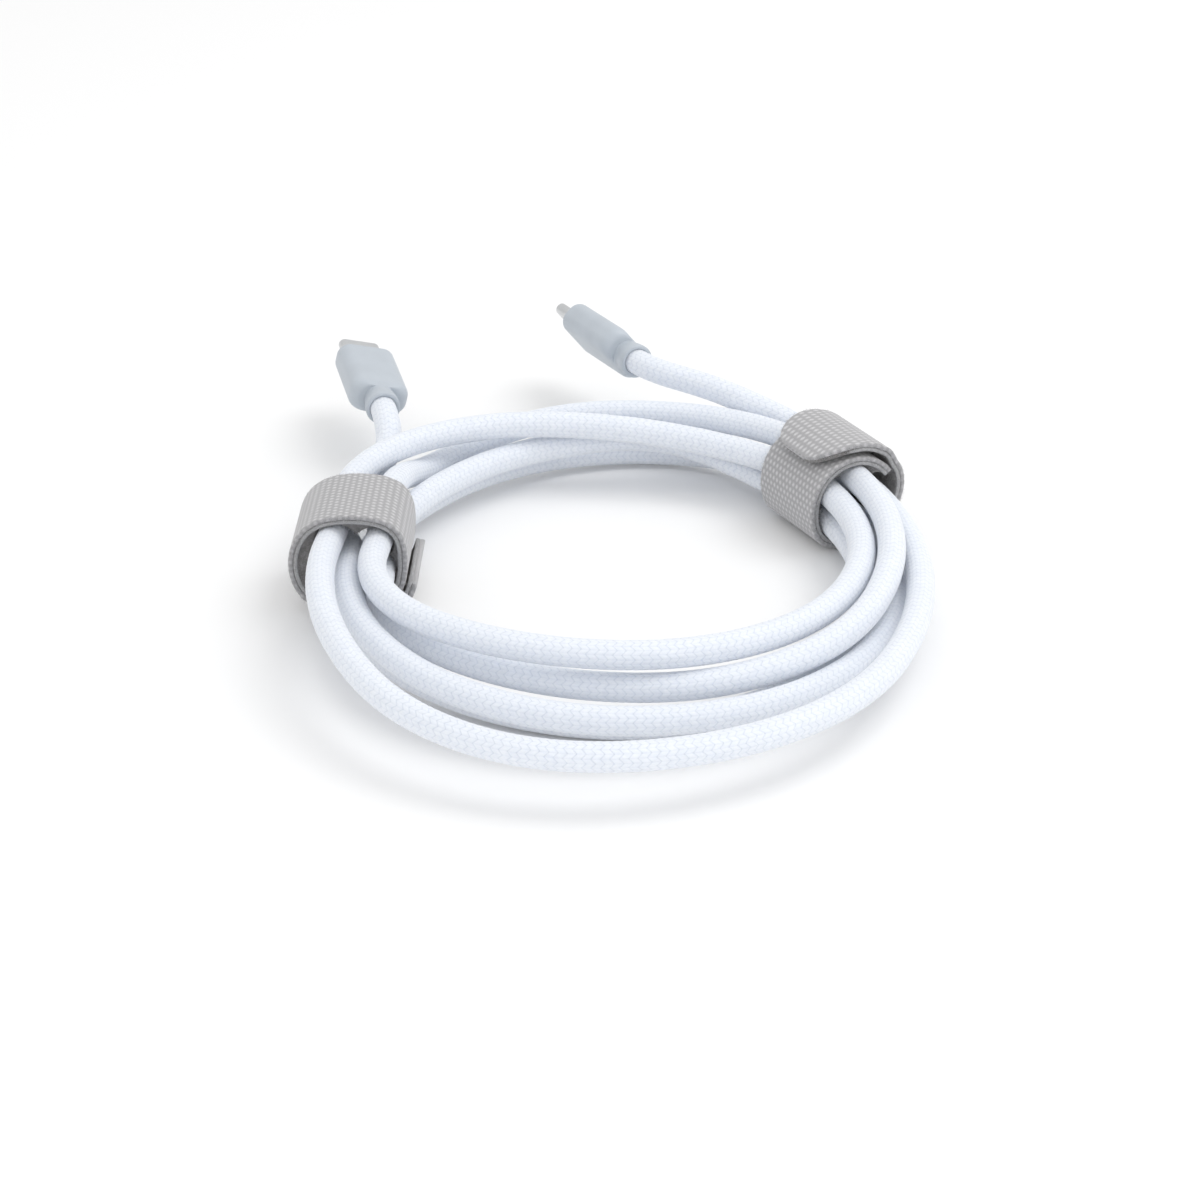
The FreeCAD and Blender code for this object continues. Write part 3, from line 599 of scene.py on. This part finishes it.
def weave_relief(run, across):
    """Round knots of the woven face in staggered rows, a little uneven."""
    row = np.round(run / KNOT_ROW)
    from_row = run - row * KNOT_ROW
    shifted = across / KNOT_STEP - row / 2
    from_knot = (shifted - np.round(shifted)) * KNOT_STEP
    knot = np.clip(1 - (from_row ** 2 + from_knot ** 2) / KNOT_REACH ** 2, 0.0, 1.0)
    waves = [np.sin(run * turn_along + across * turn_across) for turn_along, turn_across in KNOT_WAVES]
    return KNOT_DEPTH * (1 + KNOT_UNEVEN * np.prod(waves, axis=0)) * (knot - 1)


def pile_relief(run, across):
    """Uneven nap of the strap's inner face."""
    rough = np.random.default_rng(NAP_SEED).normal(0.0, 1.0, np.broadcast_shapes(run.shape, across.shape))
    return NAP_LIFT + NAP_DEPTH * np.clip(rough, -NAP_LIMIT, NAP_LIMIT)


# Each ply: its two faces, the one with relief, and the relief
PLIES = {
    "loop": (HOOK_PLY, HOOK_PLY + LOOP_PLY, HOOK_PLY + LOOP_PLY, weave_relief),
    "hook": (0.0, HOOK_PLY, 0.0, pile_relief),
}


def room_inside(points, strands):
    """Free way from each point to the nearest strand's surface."""
    room = np.empty(points.shape[:-1])
    for k, row in enumerate(points):
        room[k] = np.linalg.norm(row[:, None] - strands[None], axis=-1).min(axis=1) - CORD_R
    return room


def lining_press(side, inner_face, run, whole, wide, strands):
    """How far the soft lining bulges in between the strands, where only one layer goes round them."""
    path = STRAP[side]
    near = strands[np.linalg.norm(strands - tie_axes(side)[0], axis=1) < LINING_REACH]
    press = np.clip(room_inside(inner_face, near) - LINING_CLEAR, 0.0, LINING_PRESS)
    step_start = (path["rise"] - path["inner"]) * whole
    press *= smooth_step((FLAT_HALF - np.abs(wide)) / LINING_FADE)
    press *= smooth_step(run / LINING_FADE)[:, None] * smooth_step((step_start - run) / LINING_FADE)[:, None]
    return press


def loose_fibres(side, ply, strap, half, press, first_index):
    """Short fibres along both edges of a ply, and all over the hook ply's inner face."""
    line, outward, run = strap
    low, high = PLIES[ply][:2]
    rng = np.random.default_rng(len(run) + FIBRE_SEED[ply])
    count = int(FIBRE_DENSITY[ply] * (run[-1] - run[0]))
    at = rng.integers(0, len(run) - 1, count)
    sign = rng.choice([-1.0, 1.0], count)
    on_face = (rng.random(count) < PILE_SHARE) & (ply == "hook")
    inward = np.where(on_face, rng.random(count) * half[at], FIBRE_ROOT)
    wide = sign * (half[at] - inward)
    last_column = press.shape[1] - 1
    column = np.clip((FLAT_HALF - wide) / (2 * FLAT_HALF) * last_column, 0, last_column).astype(int)
    on_pile = low + FIBRE_ROOT - press[at, column]
    height = np.where(on_face, on_pile, low + (high - low) * rng.random(count))
    along = line[at + 1] - line[at]
    along /= np.linalg.norm(along, axis=1)[:, None]
    lean = rng.normal(0.0, FIBRE_LEAN, (count, 2))
    out_part = np.where(on_face, -PILE_DIP, EDGE_LEAN * lean[:, 1])
    side_part = np.where(on_face, PILE_LEAN * lean[:, 1], sign)
    size = np.where(on_face, PILE_LENGTH, EDGE_LENGTH) * (FIBRE_SHORTEST + rng.random(count))
    base = tie_axes(side)[0] + in_tie(side, line[at] + outward[at] * height[:, None], wide)
    way = in_tie(side, outward[at] * out_part[:, None] + along * lean[:, :1], side_part)
    way /= np.linalg.norm(way, axis=1)[:, None]
    broad = np.cross(way, rng.normal(0.0, 1.0, (count, 3)))
    broad *= FIBRE_WIDTH / 2 / np.linalg.norm(broad, axis=1)[:, None]
    thick = np.cross(way, broad)
    corners = []
    for end, share in ((base, 1.0), (base + way * size[:, None], FIBRE_TAPER)):
        corners += [end + share * reach for reach in (broad, thick, -broad, -thick)]
    box = np.array([(3, 2, 1, 0), (4, 5, 6, 7), (0, 1, 5, 4), (1, 2, 6, 5), (2, 3, 7, 6), (3, 0, 4, 7)])
    faces = first_index + (len(corners) * np.arange(count)[:, None, None] + box).reshape(-1, 4)
    across = np.repeat(np.where(on_face, 0.0, TIE_HALF), box.size)
    return np.stack(corners, 1).reshape(-1, 3), faces, across


def half_widths(side, last, run):
    """Half the strap's width at each place, drawn in to a round tip where the strap has one."""
    path = STRAP[side]
    if not path["round"] or last != path["tip"]:
        return np.full(len(run), TIE_HALF)
    near = np.clip(TIP_ROUND - (run[-1] - run), 0, TIP_ROUND)
    return TIE_HALF - TIP_ROUND + np.sqrt(np.maximum(TIP_ROUND ** 2 - near ** 2, 0.0))


def build_tape(name, side, first, last, ply, strands):
    """One ply of a stretch of strap; one of its faces has the ply's relief, faded out at the edges."""
    low, high, face, relief = PLIES[ply]
    strap = strap_line(side, first, last)
    line, outward, run = strap
    centre = tie_axes(side)[0]
    columns = MESH_STEPS * KNOTS_ACROSS + 1
    section = tape_section(low, high, columns)
    half = half_widths(side, last, run)
    wide = section[None, :, 0] * (half / TIE_HALF)[:, None]
    height = np.repeat(section[None, :, 1], len(run), 0)
    faced = np.isclose(section[:, 1], face)
    fade = smooth_step((half[:, None] - EDGE_ROUND - np.abs(wide[:, faced])) / EDGE_FADE)
    height[:, faced] += relief(run[:, None], wide[:, faced]) * fade
    press = np.zeros((len(run), columns))
    if ply == "hook" and first == STRAP[side]["inner"]:
        inner_face = centre + in_tie(side, line[:, None], wide[:, faced])
        whole = run[-1] / (last - first)
        press = lining_press(side, inner_face, run, whole, wide[:, faced], strands)
        height[:, faced] -= press
    points = centre + in_tie(side, line[:, None] + outward[:, None] * height[..., None], wide)
    middles = points[[0, -1]].mean(axis=1)
    body, caps = closed_tube(len(run), len(section), clockwise=True)
    first_fibre = points.shape[0] * points.shape[1] + len(middles)
    fibres, fibre_faces, fibre_across = loose_fibres(side, ply, strap, half, press, first_fibre)
    obj = make_object(name, np.concatenate([points.reshape(-1, 3), middles, fibres]),
                      np.concatenate([body, caps, fibre_faces]))

    # Map: millimetres along and across; caps and edge fibres count as edge
    ring, side_at = (corner[..., ::-1] for corner in quad_corners(len(run), len(section)))
    tape_map = np.stack([run[ring], wide[ring, side_at % len(section)]], -1).reshape(-1, 2)
    cap_map = np.repeat([[0.0, TIE_HALF]], caps.size, 0)
    fibre_map = np.stack([np.zeros(len(fibre_across)), fibre_across], -1)
    set_uv(obj, "tape", np.concatenate([tape_map, cap_map, fibre_map]))
    return obj


# Plugs
def round_rect(half_wide, half_high, radius):
    """Points round a rounded rectangle, the same number at each corner."""
    r = min(radius, half_wide - LEAST_HALF_SIDE, half_high - LEAST_HALF_SIDE)
    quarter = ROUND_POINTS // 4
    points = []
    for k, (sx, sy) in enumerate(((1, 1), (-1, 1), (-1, -1), (1, -1))):
        for t in math.pi / 2 * (k + np.linspace(0, 1, quarter)):
            points.append((sx * (half_wide - r) + r * math.cos(t), sy * (half_high - r) + r * math.sin(t)))
    return np.array(points)


def build_plug_piece(name, side, sections):
    """Closed piece through sections at their distances along the plug's axis."""
    mouth, wide, thick, forward = plug_axes(side)
    rows = np.array([mouth + wide * s[:, :1] + thick * s[:, 1:] + forward * z for z, s in sections])
    points = np.concatenate([rows.reshape(-1, 3), rows[[0, -1]].mean(axis=1)])
    return make_object(name, points, np.concatenate(closed_tube(*rows.shape[:2])))


def build_grip(side):
    """Rounded flat block: shoulders rounded down to the neck, a soft lip round the steel mouth."""
    half_wide = GRIP_WIDE / 2
    half_high = GRIP_HIGH / 2
    sections = []
    for bend in np.linspace(0, math.pi / 2, SHOULDER_RINGS):
        z = GRIP_START + SHOULDER * (1 - math.cos(bend))
        a = REAR_HALF_WIDE + (half_wide - REAR_HALF_WIDE) * math.sin(bend)
        b = REAR_HALF_HIGH + (half_high - REAR_HALF_HIGH) * math.sin(bend) ** SHOULDER_FULLNESS
        sections.append((z, round_rect(a, b, GRIP_ROUND)))
    for z in np.linspace(GRIP_START + SHOULDER, GRIP_END - LIP, BODY_RINGS)[1:]:
        sections.append((z, round_rect(half_wide, half_high, GRIP_ROUND)))
    for bend in np.linspace(0, math.pi / 2, LIP_RINGS)[1:]:
        z = GRIP_END - LIP + LIP * math.sin(bend)
        inset = LIP * (1 - math.cos(bend))
        sections.append((z, round_rect(half_wide - inset, half_high - inset, GRIP_ROUND - inset / 2)))
    for depth, room, corner in OPENING:
        sections.append((GRIP_END - depth, round_rect(SHELL_WIDE / 2 + room, SHELL_HIGH / 2 + room, corner)))
    return build_plug_piece("grip_" + side, side, sections)


def build_neck(side):
    """Round neck, flared at the mouth where the cord goes in and again into the grip."""
    turn = 2 * math.pi * np.arange(ROUND_POINTS) / ROUND_POINTS
    circle = np.stack([np.cos(turn), np.sin(turn)], -1)
    return build_plug_piece("neck_" + side, side, [(z, circle * r) for z, r in NECK_PROFILE])


# Materials
def new_material(name):
    material = bpy.data.materials.new(name)
    material.use_nodes = True
    tree = material.node_tree
    shader = next(n for n in tree.nodes if n.type == "BSDF_PRINCIPLED")
    return material, tree, shader


def set_inputs(node, **values):
    """Sets a node's inputs; an underscore in a name stands for a space."""
    for name, value in values.items():
        node.inputs[name.replace("_", " ")].default_value = value


def math_node(tree, operation, *inputs, clamp=False):
    node = tree.nodes.new("ShaderNodeMath")
    node.operation = operation
    node.use_clamp = clamp
    for socket, value in zip(node.inputs, inputs):
        if isinstance(value, (int, float)):
            socket.default_value = value
        else:
            tree.links.new(value, socket)
    return node.outputs[0]


def plus(tree, first, second):
    return math_node(tree, "ADD", first, second)


def minus(tree, first, second, clamp=False):
    return math_node(tree, "SUBTRACT", first, second, clamp=clamp)


def times(tree, first, second, clamp=False):
    return math_node(tree, "MULTIPLY", first, second, clamp=clamp)


def weighted(tree, first, first_weight, second, second_weight):
    return plus(tree, times(tree, first, first_weight), times(tree, second, second_weight))


def off_nearest(tree, value):
    """How far a value is from the nearest whole number, with its sign."""
    return minus(tree, value, math_node(tree, "ROUND", value))


def rise_from_ends(tree, share, slope):
    """0 at both ends of a share of 0 to 1, and 1 past a short rise."""
    nearest = math_node(tree, "MINIMUM", share, minus(tree, 1.0, share))
    return times(tree, nearest, slope, clamp=True)


def ramp(tree, value, stops):
    node = tree.nodes.new("ShaderNodeValToRGB")
    node.color_ramp.elements.remove(node.color_ramp.elements[1])
    for k, (place, colour) in enumerate(stops):
        element = node.color_ramp.elements[0] if k == 0 else node.color_ramp.elements.new(place)
        element.position = place
        element.color = (*colour, 1.0)
    tree.links.new(value, node.inputs[0])
    return node.outputs[0]


def noise(tree, scale, detail, rough=0.6):
    """Noise in the object's own space, its scale in waves a metre."""
    node = tree.nodes.new("ShaderNodeTexNoise")
    set_inputs(node, Scale=scale, Detail=detail, Roughness=rough)
    place = tree.nodes.new("ShaderNodeTexCoord")
    tree.links.new(place.outputs["Object"], node.inputs["Vector"])
    return node.outputs[0]


def map_parts(tree, name):
    node = tree.nodes.new("ShaderNodeUVMap")
    node.uv_map = name
    parts = tree.nodes.new("ShaderNodeSeparateXYZ")
    tree.links.new(node.outputs[0], parts.inputs[0])
    return parts.outputs[0], parts.outputs[1]


def bump(tree, shader, height, strength, distance):
    node = tree.nodes.new("ShaderNodeBump")
    set_inputs(node, Strength=strength, Distance=distance)
    tree.links.new(height, node.inputs["Height"])
    tree.links.new(node.outputs[0], shader.inputs["Normal"])


def mix_colour(tree, share, first, second, mode="MIX"):
    node = tree.nodes.new("ShaderNodeMix")
    node.data_type = "RGBA"
    node.blend_type = mode
    if isinstance(share, float):
        node.inputs[0].default_value = share
    else:
        tree.links.new(share, node.inputs[0])
    tree.links.new(first, node.inputs[6])
    tree.links.new(second, node.inputs[7])
    return node.outputs[2]


def braid_material():
    """Floats that lean left and right by turns from row to row, soft white, with painted bluish shade in the
    grooves between floats and between rows.
    """
    material, tree, shader = new_material("braid")
    pitches, rows = map_parts(tree, "braid")
    share = math_node(tree, "FRACT", rows)
    odd = math_node(tree, "MODULO", math_node(tree, "FLOOR", rows), 2.0)
    sense = minus(tree, 1.0, times(tree, 2.0, odd))
    lean = times(tree, times(tree, sense, BRAID_LEAN), minus(tree, share, 0.5))
    phase = math_node(tree, "FRACT", plus(tree, pitches, lean))
    groove = rise_from_ends(tree, phase, slope=7.0)
    tuck = rise_from_ends(tree, share, slope=5.0)
    yarns = math_node(tree, "SINE", times(tree, phase, 2 * math.pi * YARNS_IN_FLOAT))
    fibre = noise(tree, scale=9000.0, detail=3.0)
    floats = times(tree, groove, plus(tree, TUCKED_HEIGHT, times(tree, tuck, 1 - TUCKED_HEIGHT)))
    height = plus(tree, floats, weighted(tree, yarns, 0.05, fibre, 0.2))
    bump(tree, shader, height, strength=0.5, distance=0.0001)
    # Painted shade: the colour darkens in the grooves and tucks, where shade falls between floats and rows
    colour = ramp(tree, weighted(tree, groove, 0.7, tuck, 0.3), BRAID_WHITE_AND_GROOVE_SHADE)
    drift = ramp(tree, noise(tree, scale=900.0, detail=3.0), BRAID_DRIFT)
    tree.links.new(mix_colour(tree, 1.0, colour, drift, "MULTIPLY"), shader.inputs["Base Color"])
    set_inputs(shader, Roughness=0.58, Sheen_Weight=0.25, Specular_IOR_Level=0.35, Subsurface_Weight=0.5,
               Subsurface_Radius=(1.0, 1.0, 1.0), Subsurface_Scale=0.002)
    return material


def weave_material():
    """Woven face: the same knots as in its relief, with loose fibre all over; each knot's crown is painted
    lighter as a painted highlight and the dips between knots darker as painted shade.
    """
    material, tree, shader = new_material("woven_tape")
    run, across = map_parts(tree, "tape")
    place_along = math_node(tree, "DIVIDE", run, KNOT_ROW)
    row = math_node(tree, "ROUND", place_along)
    shifted = minus(tree, math_node(tree, "DIVIDE", across, KNOT_STEP), times(tree, row, 0.5))
    from_row = times(tree, off_nearest(tree, place_along), KNOT_ROW / KNOT_REACH)
    from_knot = times(tree, off_nearest(tree, shifted), KNOT_STEP / KNOT_REACH)
    apart = plus(tree, times(tree, from_row, from_row), times(tree, from_knot, from_knot))
    knot = minus(tree, 1.0, apart, clamp=True)
    fibre = noise(tree, scale=5200.0, detail=4.0, rough=0.7)
    bump(tree, shader, plus(tree, knot, times(tree, fibre, 0.6)), strength=0.35, distance=0.0001)
    # Painted highlight on the knots' crowns and painted shade between them, mixed with fibre noise
    colour = ramp(tree, weighted(tree, knot, 0.5, fibre, 0.8), WEAVE_GREY_AND_KNOT_HIGHLIGHT)
    tree.links.new(colour, shader.inputs["Base Color"])
    set_inputs(shader, Roughness=0.9, Sheen_Weight=0.3, Specular_IOR_Level=0.2)
    return material


def pile_material():
    """Dark fuzzy inner ply with lighter rims."""
    material, tree, shader = new_material("pile")
    fibre = noise(tree, scale=4200.0, detail=5.0, rough=0.75)
    cloudy = noise(tree, scale=700.0, detail=3.0)
    colour = ramp(tree, weighted(tree, fibre, 0.7, cloudy, 0.3), PILE_TONES)
    rim = ramp(tree, fibre, RIM_TONES)
    across = map_parts(tree, "tape")[1]
    past = minus(tree, math_node(tree, "ABSOLUTE", across), RIM_LINE)
    at_rim = times(tree, past, RIM_RISE, clamp=True)
    tree.links.new(mix_colour(tree, at_rim, colour, rim), shader.inputs["Base Color"])
    bump(tree, shader, fibre, strength=0.9, distance=0.0002)
    set_inputs(shader, Roughness=0.95, Sheen_Weight=0.3, Specular_IOR_Level=0.15)
    return material


def plastic_material(name, colour, rough, grain):
    """Moulded plastic: a faint grain, slight drift of tone."""
    material, tree, shader = new_material(name)
    dark = tuple(c * PLASTIC_SHADE for c in colour)
    drift = noise(tree, scale=160.0, detail=2.0)
    tree.links.new(ramp(tree, drift, [(0.35, dark), (0.65, colour)]), shader.inputs["Base Color"])
    bump(tree, shader, noise(tree, scale=6000.0, detail=3.0), strength=grain, distance=0.00005)
    set_inputs(shader, Roughness=rough)
    return material


def metal_material(name, colour, rough):
    """Stamped metal: its tone and its roughness drift a little."""
    material, tree, shader = new_material(name)
    bright = tuple(min(1.0, c * METAL_BRIGHTER) for c in colour)
    drift = noise(tree, scale=300.0, detail=2.0)
    tree.links.new(ramp(tree, drift, [(0.35, colour), (0.65, bright)]), shader.inputs["Base Color"])
    fine = noise(tree, scale=3500.0, detail=4.0)
    spread = plus(tree, rough - METAL_SPREAD / 2, times(tree, fine, METAL_SPREAD))
    tree.links.new(spread, shader.inputs["Roughness"])
    set_inputs(shader, Metallic=1.0)
    return material


def dress(obj, material):
    obj.data.materials.clear()
    obj.data.materials.append(material)


materials = {"braid": braid_material(), "loop": weave_material(), "hook": pile_material()}
for slot, row in PLASTICS.items():
    materials[slot] = plastic_material(*row)
for slot, row in METALS.items():
    materials[slot] = metal_material(*row)
slots = {row["node"]: row["material_slot"] for row in frame["record"]["subparts"]}
for node, obj in frame["nodes"].items():
    dress(obj, materials[slots[node]])

# The cord, in the place of the coil and both leads
cord, centreline = build_cord()
dress(cord, materials["braid"])
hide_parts("cord_coil", "lead_left", "lead_right")
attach(cord, "cable")

# The grip and neck of each plug
for side in ("left", "right"):
    for kind, builder, node in (("grip", build_grip, "overmould_"), ("neck", build_neck, "strain_relief_")):
        piece = builder(side)
        dress(piece, materials["grip"])
        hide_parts(node + side)
        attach(piece, "cable")

# Straps: the band rides with the cable, and the tab stays in place on its own
for side in ("left", "right"):
    path = STRAP[side]
    tab_line = strap_line(side, path["root"], path["tip"])[0]
    for ply in ("loop", "hook"):
        for kind, first, last, node in (("band", path["inner"], path["root"], "%s_ply_%s"),
                                        ("flap", path["root"], path["tip"], "tab_%s_%s")):
            piece = build_tape("%s_%s_%s" % (kind, ply, side), side, first, last, ply, centreline)
            dress(piece, materials[ply])
            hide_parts(node % (ply, side))
            if kind == "flap":
                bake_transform(piece)
            else:
                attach(piece, "cable")

# Millimetres along each strap, from its inner end to its tip
for side in ("left", "right"):
    path = STRAP[side]
    run = strap_line(side, path["inner"], path["tip"])[2]

# Floor
corners = [(x * FLOOR_HALF, y * FLOOR_HALF, 0) for x, y in ((-1, -1), (1, -1), (1, 1), (-1, 1))]
floor = make_object("floor", corners, [(0, 1, 2, 3)])
floor_material, _, floor_shader = new_material("floor")
set_inputs(floor_shader, Base_Color=(0.92, 0.92, 0.92, 1.0), Roughness=0.9)
dress(floor, floor_material)

# Dome, a little brighter overhead
world = bpy.data.worlds.new("studio")
world.use_nodes = True
sky = world.node_tree
sky_parts = sky.nodes.new("ShaderNodeSeparateXYZ")
sky.links.new(sky.nodes.new("ShaderNodeTexCoord").outputs["Generated"], sky_parts.inputs[0])
rise = math_node(sky, "MAXIMUM", sky_parts.outputs[2], 0.0)
strength = plus(sky, SKY_LOW, times(sky, rise, SKY_TOP - SKY_LOW))
background = sky.nodes["Background"]
set_inputs(background, Color=(1.0, 1.0, 1.0, 1.0))
sky.links.new(strength, background.inputs["Strength"])
bpy.context.scene.world = world


# Lights and camera
def look_along(way):
    return Vector(way).to_track_quat("-Z", "Y").to_euler()


def area_light(name, place, size, power):
    """A round lamp that faces the frame's origin."""
    lamp = bpy.data.lights.new(name, "AREA")
    lamp.shape = "DISK"
    lamp.size = size
    lamp.energy = power
    obj = bpy.data.objects.new(name, lamp)
    obj.location = place
    obj.rotation_euler = look_along(-np.array(place))
    bpy.context.scene.collection.objects.link(obj)


area_light("key", place=(0.4, 0.05, 0.7), size=0.5, power=1.8)
area_light("fill", place=(0.1, -0.8, 0.3), size=0.6, power=0.8)

camera_data = bpy.data.cameras.new("camera")
camera_data.lens = CAMERA_LENS
camera_data.sensor_width = SENSOR
camera = bpy.data.objects.new("camera", camera_data)
elevation = math.radians(CAMERA_ELEVATION)
looking = np.array([0.0, math.cos(elevation), -math.sin(elevation)])
camera.location = (SHIFT - looking * CAMERA_DISTANCE) * MM
camera.rotation_euler = look_along(looking)
bpy.context.scene.collection.objects.link(camera)
bpy.context.scene.camera = camera
bpy.context.scene.view_settings.view_transform = "Standard"
